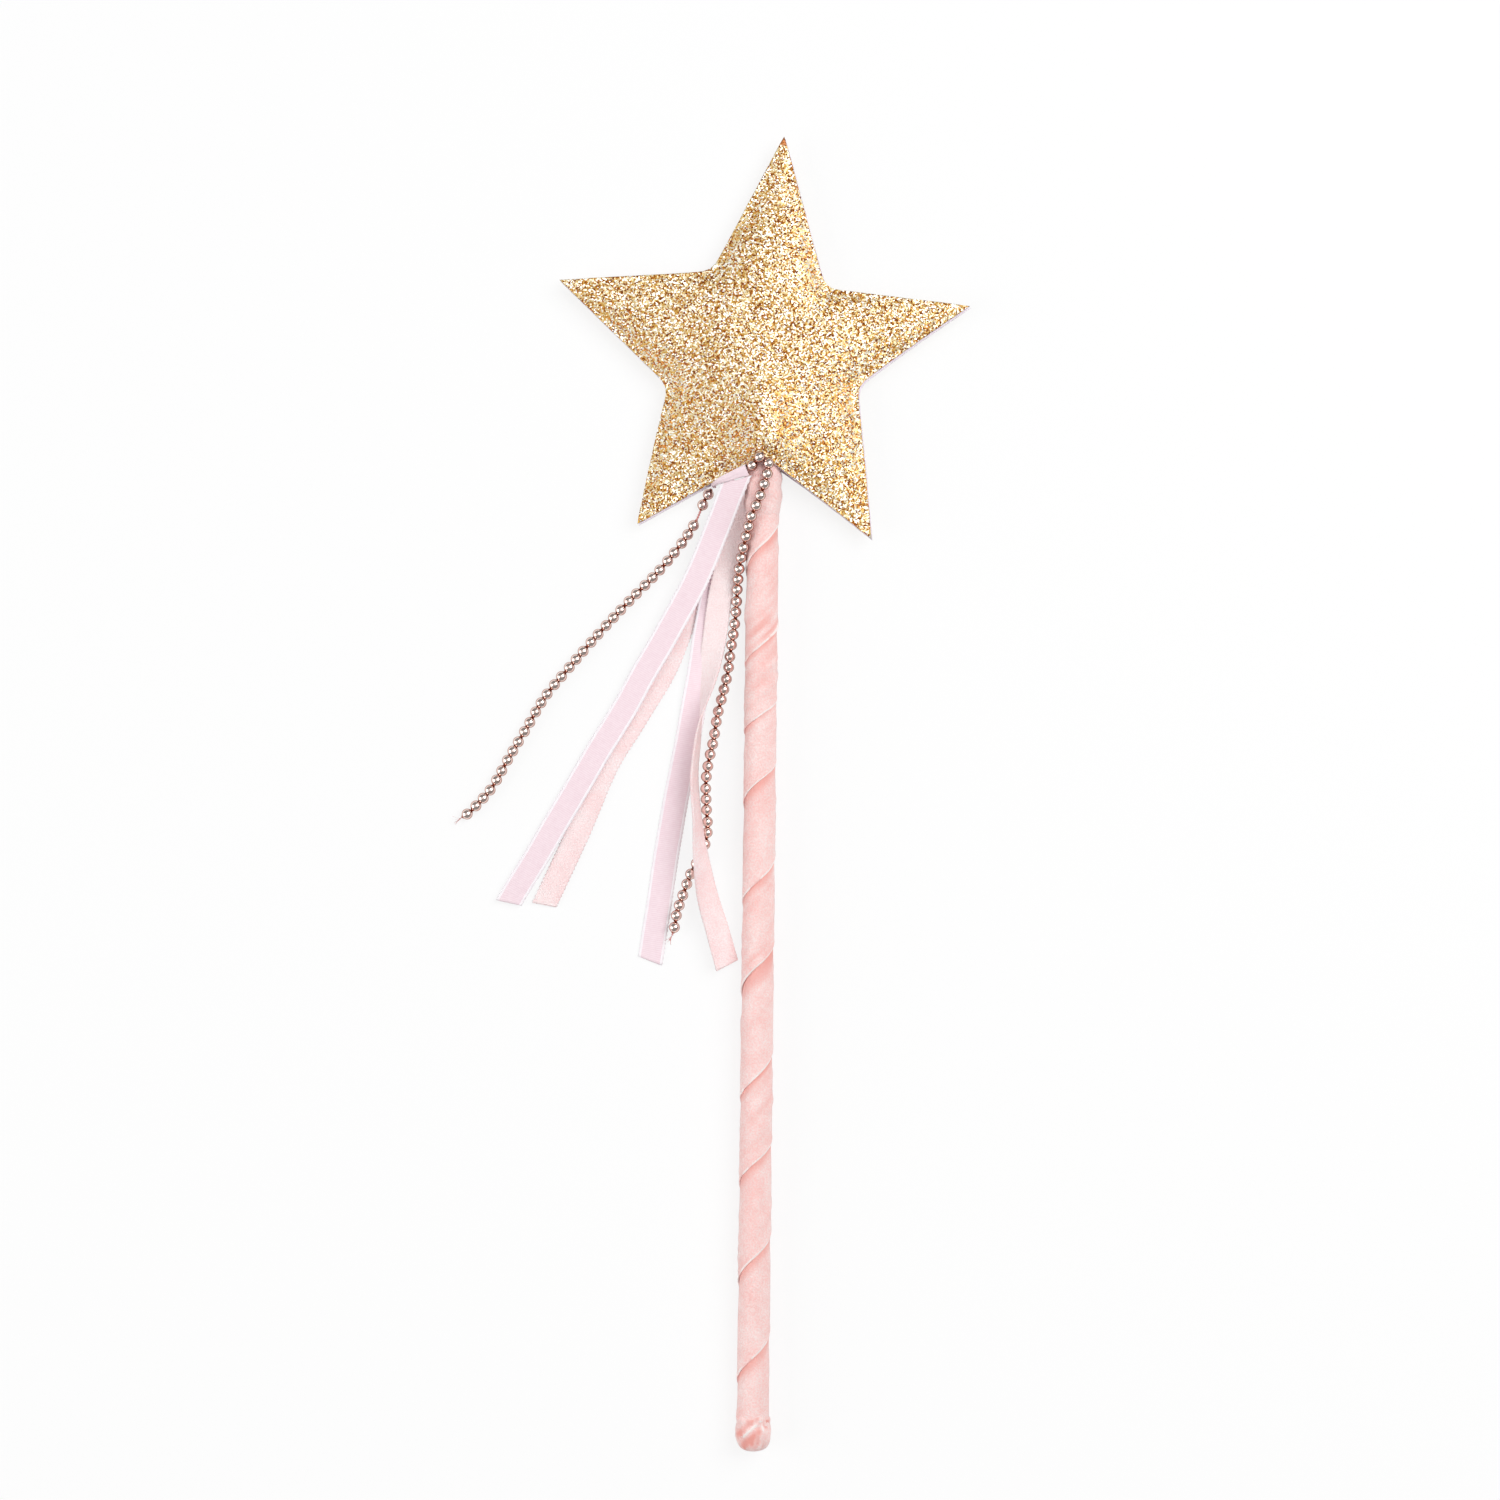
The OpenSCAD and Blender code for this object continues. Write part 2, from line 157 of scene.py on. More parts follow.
# %% Softboxes and room
def softbox(name, place, size, watts):
    data = bpy.data.lights.new(name, "AREA")
    data.shape = "SQUARE"
    data.size = size
    data.energy = watts
    lamp = bpy.data.objects.new(name, data)
    bpy.context.collection.objects.link(lamp)
    lamp.location = place
    lamp.rotation_euler = Vector(place).to_track_quat("Z", "Y").to_euler()
    return lamp


softbox("key_right", (0.8, 0.5, 1.3), 1.25, 19.5)
softbox("fill_left", (-1.45, -0.25, 0.75), 1.2, 12)
softbox("top_soft", (-0.3, 0.1, 2.2), 1.6, 4)
ROOM_GREY = 0.27
room = bpy.data.worlds.new("room")
room.use_nodes = True
room.node_tree.nodes["Background"].inputs["Color"].default_value = (ROOM_GREY, ROOM_GREY, ROOM_GREY, 1)
bpy.context.scene.world = room
bpy.context.scene.view_settings.view_transform = "Standard"

# %% [markdown]
# ## Sweeping a row of points
#
# Ribbons, threads and the winding are all a row of points that is drawn along a route. The helper starts
# with one row, extrudes it step by step and puts each new row in its place. It keeps two numbers on every
# point, how far along and how far across it is, so that weaves can follow the cloth.

# %% Routes and sweeps
def smooth_route(points, step):
    """Evenly spaced places on a Catmull-Rom curve through the points, each a Vector of any length."""
    fine = []
    for i in range(len(points) - 1):
        a = points[max(i - 1, 0)]
        b = points[i]
        c = points[i + 1]
        d = points[min(i + 2, len(points) - 1)]
        for k in range(12):
            t = k / 12
            fine.append(0.5 * (2 * b + (c - a) * t + (2 * a - 5 * b + 4 * c - d) * t * t
                               + (3 * b - a - 3 * c + d) * t * t * t))
    fine.append(points[-1].copy())
    sums = [0]
    for a, b in zip(fine, fine[1:]):
        sums.append(sums[-1] + (b.xyz - a.xyz).length)
    count = max(2, round(sums[-1] / step))
    even = []
    i = 0
    for k in range(count + 1):
        want = sums[-1] * k / count
        while i < len(sums) - 2 and sums[i + 1] < want:
            i += 1
        share = (want - sums[i]) / max(sums[i + 1] - sums[i], 1e-9)
        even.append(fine[i].lerp(fine[i + 1], min(1, max(0, share))))
    return even


def route_frames(places):
    """Direction, side and up at every place of a route; a fourth number of a place rolls it, in degrees."""
    frames = []
    for i, place in enumerate(places):
        ahead = places[min(i + 1, len(places) - 1)].xyz - places[max(i - 1, 0)].xyz
        ahead.normalize()
        side = ahead.cross(Vector((0, 0, 1))).normalized()
        up = side.cross(ahead)
        turn = Matrix.Rotation(math.radians(place.w), 3, ahead)
        frames.append((place.xyz, ahead, turn @ side, turn @ up))
    return frames


def sweep(rows, closed=False):
    """A mesh through rows of points, made by extruding the first row; returns it with its marks."""
    bm = bmesh.new()
    along = bm.verts.layers.float.new("along")
    across = bm.verts.layers.float.new("across")
    row = [bm.verts.new(p) for p in rows[0]]
    edges = [bm.edges.new(pair) for pair in zip(row, row[1:])]
    if closed:
        edges.append(bm.edges.new((row[-1], row[0])))
    for k, vert in enumerate(row):
        vert[across] = k / (len(row) - 1)
    for i in range(1, len(rows)):
        made = bmesh.ops.extrude_edge_only(bm, edges=edges)
        edges = [e for e in made["geom"] if isinstance(e, bmesh.types.BMEdge)]
        fresh = [v for v in made["geom"] if isinstance(v, bmesh.types.BMVert)]
        old_to_new = {}
        for vert in fresh:
            for edge in vert.link_edges:
                other = edge.other_vert(vert)
                if other in row:
                    old_to_new[other] = vert
        row = [old_to_new[vert] for vert in row]
        for k, vert in enumerate(row):
            vert.co = rows[i][k]
            vert[along] = i / (len(rows) - 1)
            vert[across] = k / (len(row) - 1)
    bmesh.ops.recalc_face_normals(bm, faces=bm.faces)
    return bm


def make_piece(name, bm, body, node=None, materials=()):
    """A smooth-shaded object from a mesh; it rides on a body and takes the place of a node."""
    mesh = bpy.data.meshes.new(name)
    bm.to_mesh(mesh)
    bm.free()
    for face in mesh.polygons:
        face.use_smooth = True
    piece = bpy.data.objects.new(name, mesh)
    bpy.context.collection.objects.link(piece)
    for material in materials:
        mesh.materials.append(material)
    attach(piece, body)
    if node:
        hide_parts(node)
    return piece


def from_mouth(points):
    """Millimetres from the star's mouth as places in metres, with the roll kept."""
    return [Vector((*(MOUTH + Vector(p[:3]) * MM), p[3] if len(p) > 3 else 0)) for p in points]


print("helpers ready")

# %% [markdown]
# ## Surfaces
#
# Each surface is a small node material on the object's own coordinates. Two shared groups give what several
# of them need: short fibres for the velvets, which also take a painted shade where a mesh keeps one for its
# creases, and a fine weave for satin, thread and backing cloth.

# %% Nap and weave groups
def srgb(r, g, b):
    """A colour as it is named from 0 to 255, in the linear values that shaders take."""
    return tuple(c / 255 / 12.92 if c <= 10 else ((c / 255 + 0.055) / 1.055) ** 2.4 for c in (r, g, b))


def new_group(name, inputs, outputs):
    group = bpy.data.node_groups.new(name, "ShaderNodeTree")
    for label, kind, value in inputs:
        socket = group.interface.new_socket(label, in_out="INPUT", socket_type=kind)
        socket.default_value = value
    for label, kind in outputs:
        group.interface.new_socket(label, in_out="OUTPUT", socket_type=kind)
    return group, add_node(group, "NodeGroupInput"), add_node(group, "NodeGroupOutput")


def mix_colours(tree, fac, a, b, blend="MIX"):
    node = add_node(tree, "ShaderNodeMix", data_type="RGBA", blend_type=blend)
    for socket, value in ((node.inputs[0], fac), (node.inputs[6], a), (node.inputs[7], b)):
        if isinstance(value, bpy.types.NodeSocket):
            tree.links.new(value, socket)
        else:
            socket.default_value = value
    return node.outputs[2]


def noise_at(tree, scale, detail, vector=None):
    node = add_node(tree, "ShaderNodeTexNoise")
    node.inputs["Scale"].default_value = scale
    node.inputs["Detail"].default_value = detail
    source = vector or add_node(tree, "ShaderNodeTexCoord").outputs["Object"]
    tree.links.new(source, node.inputs["Vector"])
    return node.outputs["Fac"]


def stretched(tree, value, low, high):
    node = add_node(tree, "ShaderNodeMapRange")
    node.inputs["From Min"].default_value = low
    node.inputs["From Max"].default_value = high
    tree.links.new(value, node.inputs["Value"])
    return node.outputs["Result"]


def bump(tree, height, strength, distance):
    node = add_node(tree, "ShaderNodeBump")
    node.inputs["Strength"].default_value = strength
    node.inputs["Distance"].default_value = distance
    tree.links.new(height, node.inputs["Height"])
    return node.outputs["Normal"]


nap_and_painted_shade, nap_in, nap_out = new_group(
    "nap_and_painted_shade", [("Light", "NodeSocketColor", (1, 1, 1, 1)), ("Deep", "NodeSocketColor", (0.5, 0.5, 0.5, 1))],
    [("Colour", "NodeSocketColor"), ("Normal", "NodeSocketVector")])
fibres = noise_at(nap_and_painted_shade, 2100, 4)
brushed = noise_at(nap_and_painted_shade, 160, 2)
speck = stretched(nap_and_painted_shade, fibres, 0.36, 0.65)
patch = stretched(nap_and_painted_shade, brushed, 0.35, 0.68)
shade = add_node(nap_and_painted_shade, "ShaderNodeMath", operation="MULTIPLY_ADD")
shade.inputs[1].default_value = 0.62
nap_and_painted_shade.links.new(speck, shade.inputs[0])
part_patch = add_node(nap_and_painted_shade, "ShaderNodeMath", operation="MULTIPLY")
part_patch.inputs[1].default_value = 0.38
nap_and_painted_shade.links.new(patch, part_patch.inputs[0])
nap_and_painted_shade.links.new(part_patch.outputs[0], shade.inputs[2])
nap_colour = mix_colours(nap_and_painted_shade, shade.outputs[0], nap_in.outputs["Deep"], nap_in.outputs["Light"])
# Painted shade: the velvet goes towards a deeper pink where its mesh keeps a shade amount for creases and folds.
painted_shade_mark = add_node(nap_and_painted_shade, "ShaderNodeAttribute", attribute_name="deep")
nap_with_painted_shade = mix_colours(nap_and_painted_shade, painted_shade_mark.outputs["Fac"], nap_colour, (*srgb(244, 168, 158), 1))
nap_and_painted_shade.links.new(nap_with_painted_shade, nap_out.inputs["Colour"])
nap_and_painted_shade.links.new(bump(nap_and_painted_shade, fibres, 0.7, 0.3 * MM), nap_out.inputs["Normal"])

weave, weave_in, weave_out = new_group(
    "weave", [("Light", "NodeSocketColor", (1, 1, 1, 1)), ("Deep", "NodeSocketColor", (0.5, 0.5, 0.5, 1)),
              ("Threads", "NodeSocketFloat", 300)],
    [("Colour", "NodeSocketColor"), ("Normal", "NodeSocketVector")])
along_mark = add_node(weave, "ShaderNodeAttribute", attribute_name="along")
times = add_node(weave, "ShaderNodeMath", operation="MULTIPLY")
weave.links.new(along_mark.outputs["Fac"], times.inputs[0])
weave.links.new(weave_in.outputs["Threads"], times.inputs[1])
ridge = add_node(weave, "ShaderNodeMath", operation="SINE")
weave.links.new(times.outputs[0], ridge.inputs[0])
ridge_share = stretched(weave, ridge.outputs[0], -1, 1)
slub = stretched(weave, noise_at(weave, 900, 2), 0.3, 0.7)
thread_mix = add_node(weave, "ShaderNodeMath", operation="MULTIPLY_ADD")
thread_mix.inputs[1].default_value = 0.6
weave.links.new(ridge_share, thread_mix.inputs[0])
part_slub = add_node(weave, "ShaderNodeMath", operation="MULTIPLY")
part_slub.inputs[1].default_value = 0.4
weave.links.new(slub, part_slub.inputs[0])
weave.links.new(part_slub.outputs[0], thread_mix.inputs[2])
weave_colour = mix_colours(weave, thread_mix.outputs[0], weave_in.outputs["Deep"], weave_in.outputs["Light"])
weave.links.new(weave_colour, weave_out.inputs["Colour"])
weave.links.new(bump(weave, thread_mix.outputs[0], 0.35, 0.05 * MM), weave_out.inputs["Normal"])
print("groups:", [g.name for g in bpy.data.node_groups])


# %% Cloth materials
def cloth(name, group, light, deep, roughness, sheen, threads=None):
    """A principled cloth whose colour and normal come from a shared group."""
    material, tree = shader_material(name)
    pattern = add_node(tree, "ShaderNodeGroup", node_tree=group)
    pattern.inputs["Light"].default_value = (*light, 1)
    pattern.inputs["Deep"].default_value = (*deep, 1)
    if threads:
        pattern.inputs["Threads"].default_value = threads
    surface = add_node(tree, "ShaderNodeBsdfPrincipled")
    surface.inputs["Roughness"].default_value = roughness
    surface.inputs["Specular IOR Level"].default_value = 0.25
    surface.inputs["Sheen Weight"].default_value = sheen
    surface.inputs["Sheen Roughness"].default_value = 0.4
    output = add_node(tree, "ShaderNodeOutputMaterial")
    tree.links.new(pattern.outputs["Colour"], surface.inputs["Base Color"])
    tree.links.new(pattern.outputs["Normal"], surface.inputs["Normal"])
    tree.links.new(surface.outputs[0], output.inputs["Surface"])
    return material


velvet = cloth("blush_velvet", nap_and_painted_shade, srgb(255, 235, 232), srgb(252, 199, 194), 0.95, 0.55)
tail_velvet = cloth("tail_velvet", nap_and_painted_shade, srgb(255, 243, 243), srgb(253, 218, 218), 0.95, 0.3)
velvet_back = cloth("velvet_back", nap_and_painted_shade, srgb(255, 242, 242), srgb(250, 226, 226), 0.8, 0.1)
satin = cloth("lilac_satin", weave, srgb(251, 232, 238), srgb(242, 217, 225), 0.36, 0.1, 1500)
satin_edge = cloth("satin_edge", weave, srgb(255, 252, 254), srgb(250, 240, 246), 0.5, 0.1, 2400)
selvedge = cloth("velvet_selvedge", nap_and_painted_shade, srgb(255, 248, 246), srgb(254, 232, 228), 0.8, 0.2)
backing = cloth("star_backing", weave, srgb(252, 244, 250), srgb(236, 222, 234), 0.8, 0.1, 900)
pink_thread = cloth("pink_thread", weave, srgb(240, 178, 174), srgb(206, 130, 128), 0.7, 0.2, 1600)
wadding = cloth("wadding", nap_and_painted_shade, srgb(246, 242, 236), srgb(226, 220, 210), 0.95, 0.1)
print("cloths made")


# %% [markdown]
# The star is covered in glitter: flat flakes of many golds, each tilted its own way, so some flash and some go
# dark. The cream to near-white flakes are painted glints. At the top tip the flakes are worn off and the brown
# cloth shows. The beads are metallised plastic that mirrors the softboxes and the dim room. Their sides as seen
# from above and their collars are painted dark copper brown: a painted dark reflection round the rims and
# painted shade between the beads.

# %% Glitter and metal
FLAKE = 0.4 * MM
BARE_TIP = (AXIS_X + 5.2 * MM, star_high[1] - 0.4 * MM, AXIS_Z + 1 * MM)
glitter, tree = shader_material("gold_glitter")
coords = add_node(tree, "ShaderNodeTexCoord")
flakes = add_node(tree, "ShaderNodeTexVoronoi")
flakes.inputs["Scale"].default_value = 1 / FLAKE
tree.links.new(coords.outputs["Object"], flakes.inputs["Vector"])
chance = add_node(tree, "ShaderNodeSeparateColor")
tree.links.new(flakes.outputs["Color"], chance.inputs[0])
ramp = add_node(tree, "ShaderNodeValToRGB")
ramp.color_ramp.interpolation = "CONSTANT"
# Flake colours from brown through gold to near white: the golds are the glitter's own, the cream to near-white
# flakes are painted glints.
GOLDS_AND_PAINTED_GLINTS = [(0, (138, 66, 8)), (0.15, (196, 120, 30)), (0.32, (222, 172, 82)), (0.5, (236, 209, 150)),
         (0.68, (250, 238, 205)), (0.84, (255, 255, 246))]
while len(ramp.color_ramp.elements) < len(GOLDS_AND_PAINTED_GLINTS):
    ramp.color_ramp.elements.new(0.5)
for stop, (place, colour) in zip(ramp.color_ramp.elements, GOLDS_AND_PAINTED_GLINTS):
    stop.position = place
    stop.color = (*srgb(*colour), 1)
tree.links.new(chance.outputs["Red"], ramp.inputs["Fac"])
facing = add_node(tree, "ShaderNodeNewGeometry")
centred = add_node(tree, "ShaderNodeVectorMath", operation="SUBTRACT")
centred.inputs[1].default_value = (0.5, 0.5, 0.5)
tree.links.new(flakes.outputs["Color"], centred.inputs[0])
tilt = add_node(tree, "ShaderNodeVectorMath", operation="SCALE")
tilt.inputs["Scale"].default_value = 0.62
tree.links.new(centred.outputs[0], tilt.inputs[0])
tilted = add_node(tree, "ShaderNodeVectorMath", operation="ADD")
tree.links.new(facing.outputs["Normal"], tilted.inputs[0])
tree.links.new(tilt.outputs[0], tilted.inputs[1])
straight = add_node(tree, "ShaderNodeVectorMath", operation="NORMALIZE")
tree.links.new(tilted.outputs[0], straight.inputs[0])
tip_distance = add_node(tree, "ShaderNodeVectorMath", operation="DISTANCE")
tip_distance.inputs[1].default_value = BARE_TIP
tree.links.new(coords.outputs["Object"], tip_distance.inputs[0])
covered = stretched(tree, tip_distance.outputs["Value"], 1.6 * MM, 2.6 * MM)
glitter_colour = mix_colours(tree, covered, (*srgb(186, 112, 52), 1), ramp.outputs["Color"])
surface = add_node(tree, "ShaderNodeBsdfPrincipled")
surface.inputs["Metallic"].default_value = 0.35
surface.inputs["Roughness"].default_value = 0.32
output = add_node(tree, "ShaderNodeOutputMaterial")
tree.links.new(glitter_colour, surface.inputs["Base Color"])
tree.links.new(straight.outputs[0], surface.inputs["Normal"])
tree.links.new(surface.outputs[0], output.inputs["Surface"])

bead_metal, tree = shader_material("metallised_bead")
scuff = stretched(tree, noise_at(tree, 1500, 3), 0.35, 0.7)
metal_tone = mix_colours(tree, scuff, (*srgb(246, 218, 208), 1), (*srgb(255, 240, 233), 1))
# Painted dark reflection and shade: the rims and collars are mixed towards a dark copper brown.
painted_rim_mark = add_node(tree, "ShaderNodeAttribute", attribute_name="seam")
bead_colour = mix_colours(tree, painted_rim_mark.outputs["Fac"], metal_tone, (*srgb(158, 92, 66), 1))
surface = add_node(tree, "ShaderNodeBsdfPrincipled")
surface.inputs["Metallic"].default_value = 1
surface.inputs["Roughness"].default_value = 0.06
output = add_node(tree, "ShaderNodeOutputMaterial")
tree.links.new(bead_colour, surface.inputs["Base Color"])
tree.links.new(bump(tree, scuff, 0.05, 0.02 * MM), surface.inputs["Normal"])
tree.links.new(surface.outputs[0], output.inputs["Surface"])
print("glitter flakes of", FLAKE / MM, "mm")

# %% [markdown]
# ## Ribbon tails
#
# Two satin and two velvet tails lie fanned out on the left. Each keeps the route of its solid. The right
# velvet tail turns over half way: its pale back shows first, then its edge, then its velvet side. The
# edges are a little wavy with tiny loops, and each end is cut on a slant.

# %% Ribbon tails
SATIN_W = 7.3 * MM
VELVET_W = 6.9 * MM
TAILS = {
    "satin_left": ("left_satin", 0.4, 1.2, 3.4, [
        (-8.2, -7.6, 9.3), (-10.4, -13, 8), (-13.9, -22.5, 5.8), (-17.6, -32.2, 4.6), (-22, -41.5, 3.8),
        (-28.5, -53.5, 2.8), (-35, -65, 2.2), (-43, -79.5, 1.8), (-51.5, -94, 1.6), (-63, -114, 1.5),
        (-75, -135, 1.5)]),
    "velvet_left": ("left_velvet", 0.7, 0.9, 0, [
        (-10, -11.8, 3.5), (-13, -22, 1.6), (-17, -33, 0.8), (-20.5, -41.5, 0.5), (-24.5, -53, 0.5),
        (-29.5, -65, 0.5), (-38, -79.5, 0.5), (-46.5, -94, 0.5), (-54.5, -113.5, 0.5), (-64.5, -135.5, 0.5)]),
    "satin_middle": ("middle_satin", 0.4, -0.8, 0, [
        (-9.5, -11.8, 5), (-11, -22, 2.8), (-12.7, -32, 2), (-14.7, -41.5, 1.6), (-16.7, -53, 1.5),
        (-18.4, -65, 1.4), (-21, -80, 0.9), (-23.5, -94, 0.35), (-26.8, -113.5, 0.3), (-32.5, -152, 0.3)]),
    "velvet_right": ("right_velvet", 0.7, 0.7, 0, [
        (-8.2, -11.8, 6.3, -180), (-8.6, -22, 4.2, -180), (-10.4, -32, 3.2, -180), (-12.4, -41.5, 2.8, -180),
        (-14, -53, 2.6, -172), (-15.7, -65, 3.1, -142), (-18.2, -80.5, 4.6, -86), (-19.6, -94, 5.2, -76),
        (-19.4, -101, 5.8, -74), (-18.5, -110, 6.8, -71), (-17.5, -119.5, 6.9, -56), (-15.3, -132.5, 5.4, -32),
        (-12.3, -142.5, 4.3, -18), (-9.3, -153, 3.5, -10)]),
}
ACROSS = 23
EDGE_COLUMNS = 2
PICOT_PITCH = 1.3 * MM
tail_length = {}
for name, (body, thick, slant, tuck, points) in TAILS.items():
    places = smooth_route(from_mouth(points), 0.65 * MM)
    tail_length[name] = sum((b.xyz - a.xyz).length for a, b in zip(places, places[1:]))
    is_satin = name.startswith("satin")
    width = SATIN_W if is_satin else VELVET_W
    rows = []
    frames = route_frames(places)
    for i, (at, ahead, side, up) in enumerate(frames):
        run = tail_length[name] * i / (len(places) - 1)
        picot = 0.3 * MM * (0.5 + 0.5 * math.cos(2 * math.pi * run / PICOT_PITCH))
        wave = 0.25 * MM * noise.noise(Vector((run * 60, 3.1 * len(name), 0)))
        last = max(0, 1 - (tail_length[name] - run) / (4 * MM))
        first = max(0, 1 - run / (5 * MM))
        row = []
        for k in range(ACROSS):
            v = 2 * k / (ACROSS - 1) - 1
            reach = v * (width / 2 + (picot if abs(v) == 1 else 0)) + wave
            cup = (0.12 if is_satin else 0.2) * MM * (1 - v * v) - 0.11 * tuck * MM * min(v, 0) * first
            pull = slant * v * last + tuck * min(v, 0) * first
            row.append(at + side * reach + up * cup + ahead * pull * MM)
        rows.append(row)
    bm = sweep(rows)
    bm.faces.ensure_lookup_table()
    if bm.faces[0].normal.dot(frames[0][3]) < 0:
        bmesh.ops.reverse_faces(bm, faces=bm.faces)
    for face in bm.faces:
        marks = [vert[bm.verts.layers.float["across"]] for vert in face.verts]
        from_edge = min(max(marks), 1 - min(marks)) * (ACROSS - 1)
        if is_satin and from_edge < EDGE_COLUMNS + 0.5:
            face.material_index = 3
    if is_satin:
        cloths = (satin, satin, satin_edge, satin_edge)
    else:
        cloths = (tail_velvet, velvet_back, tail_velvet, tail_velvet)
    piece = make_piece(name + "_ribbon", bm, body, name, cloths)
    body_of_cloth = piece.modifiers.new("thickness", "SOLIDIFY")
    body_of_cloth.thickness = thick * MM * 0.9
    body_of_cloth.offset = 0
    body_of_cloth.material_offset = 1 if not is_satin else 0
    body_of_cloth.material_offset_rim = 2
print({name: round(length / MM, 1) for name, length in tail_length.items()})

# %% [markdown]
# ## Bead strings
#
# The beads are moulded on a twisted pink thread at an even pitch, each with a short collar at both ends. One
# bead is lost near the top of the left string, and both strings end in a frayed bit of thread.

# %% One bead
BEAD_D = 3.34 * MM
BEAD_PITCH = 3.36 * MM
COLLAR_R = 0.62 * MM
# How far round each bead's side the painted dark rim reaches, and how softly it fades.
PAINTED_RIM_HALF = 0.64
PAINTED_RIM_FADE = 0.3
collar_angle = math.asin(COLLAR_R / (BEAD_D / 2))
profile = [Vector((COLLAR_R * 0.8, 0, -BEAD_D / 2 - 0.12 * MM))]
for k in range(11):
    turn = collar_angle + (math.pi - 2 * collar_angle) * k / 10
    profile.append(Vector((math.sin(turn), 0, -math.cos(turn))) * BEAD_D / 2)
profile.append(Vector((COLLAR_R * 0.8, 0, BEAD_D / 2 + 0.12 * MM)))
bm = bmesh.new()
row = [bm.verts.new(p) for p in profile]
edges = [bm.edges.new(pair) for pair in zip(row, row[1:])]
bmesh.ops.spin(bm, geom=row + edges, cent=(0, 0, 0), axis=(0, 0, 1), angle=2 * math.pi, steps=18,
               use_merge=True)
bmesh.ops.holes_fill(bm, edges=bm.edges, sides=18)
bmesh.ops.recalc_face_normals(bm, faces=bm.faces)
bead_mesh = bpy.data.meshes.new("one_bead")
bm.to_mesh(bead_mesh)
bm.free()
print("one bead has", len(bead_mesh.polygons), "faces")


# %% Bead and thread pieces
def string_beads(name, spots, body, node):
    """All the beads of a string as one piece, each turned along its thread, with a painted dark rim and painted
    collar shade marked on it.
    """
    bm = bmesh.new()
    seam = bm.verts.layers.float.new("seam")
    for at, ahead in spots:
        before = len(bm.verts)
        bm.from_mesh(bead_mesh)
        bm.verts.ensure_lookup_table()
        place = Matrix.Translation(at) @ ahead.to_track_quat("Z", "Y").to_matrix().to_4x4()
        bmesh.ops.transform(bm, matrix=place, verts=bm.verts[before:])
        for vert in bm.verts[before:]:
            out = (vert.co - at).normalized()
            # Painted dark rim where the bead's side turns away from straight up, and painted shade at the
            # collars.
            vert[seam] = min(1, max(0, (PAINTED_RIM_HALF - abs(out.z)) / PAINTED_RIM_FADE, (abs(out.dot(ahead)) - 0.8) / 0.2))
    piece = make_piece(name, bm, body, node, (bead_metal,))
    return piece


def thread_piece(name, places, body, node, ply_r=0.21 * MM, ply_out=0.19 * MM, twist=1.6 * MM):
    """A thread of two plies twisted round each other, each swept as a round row."""
    frames = route_frames(places)
    joined = bmesh.new()
    run = 0
    turns = [0]
    for a, b in zip(places, places[1:]):
        run += (b.xyz - a.xyz).length
        turns.append(2 * math.pi * run / twist)
    for start in (0, math.pi):
        rows = []
        for (at, ahead, side, up), turn in zip(frames, turns):
            middle = at + (side * math.cos(turn + start) + up * math.sin(turn + start)) * ply_out
            rows.append([middle + (side * math.cos(k * math.pi / 3) + up * math.sin(k * math.pi / 3)) * ply_r
                         for k in range(6)])
        ply = sweep(rows, closed=True)
        bmesh.ops.holes_fill(ply, edges=ply.edges, sides=6)
        bmesh.ops.recalc_face_normals(ply, faces=ply.faces)
        mesh = bpy.data.meshes.new("ply")
        ply.to_mesh(mesh)
        ply.free()
        joined.from_mesh(mesh)
        bpy.data.meshes.remove(mesh)
    piece = make_piece(name, joined, body, node, (pink_thread,))
    return piece


def fray(name, at, ahead, body, count, length, seed):
    """Loose fibres at the end of a thread, fanned out on the floor."""
    rng = random.Random(seed)
    side = ahead.cross(Vector((0, 0, 1))).normalized()
    joined = bmesh.new()
    for n in range(count):
        lean = rng.uniform(-0.9, 0.9)
        reach = length * rng.uniform(0.55, 1)
        curl = rng.uniform(-0.8, 0.8)
        spine = []
        for k in range(7):
            t = k / 6
            spine.append(at + ahead * reach * t + side * reach * (lean * t + curl * t * t) * 0.5
                         + Vector((0, 0, 1)) * (0.12 * MM * math.sin(5 * t + n)))
        rows = [[p + Vector((math.cos(c * 2.094), 0, math.sin(c * 2.094))) * 0.09 * MM for c in range(3)]
                for p in spine]
        fibre = sweep(rows, closed=True)
        mesh = bpy.data.meshes.new("fibre")
        fibre.to_mesh(mesh)
        fibre.free()
        joined.from_mesh(mesh)
        bpy.data.meshes.remove(mesh)
    return make_piece(name, joined, body, None, (pink_thread,))


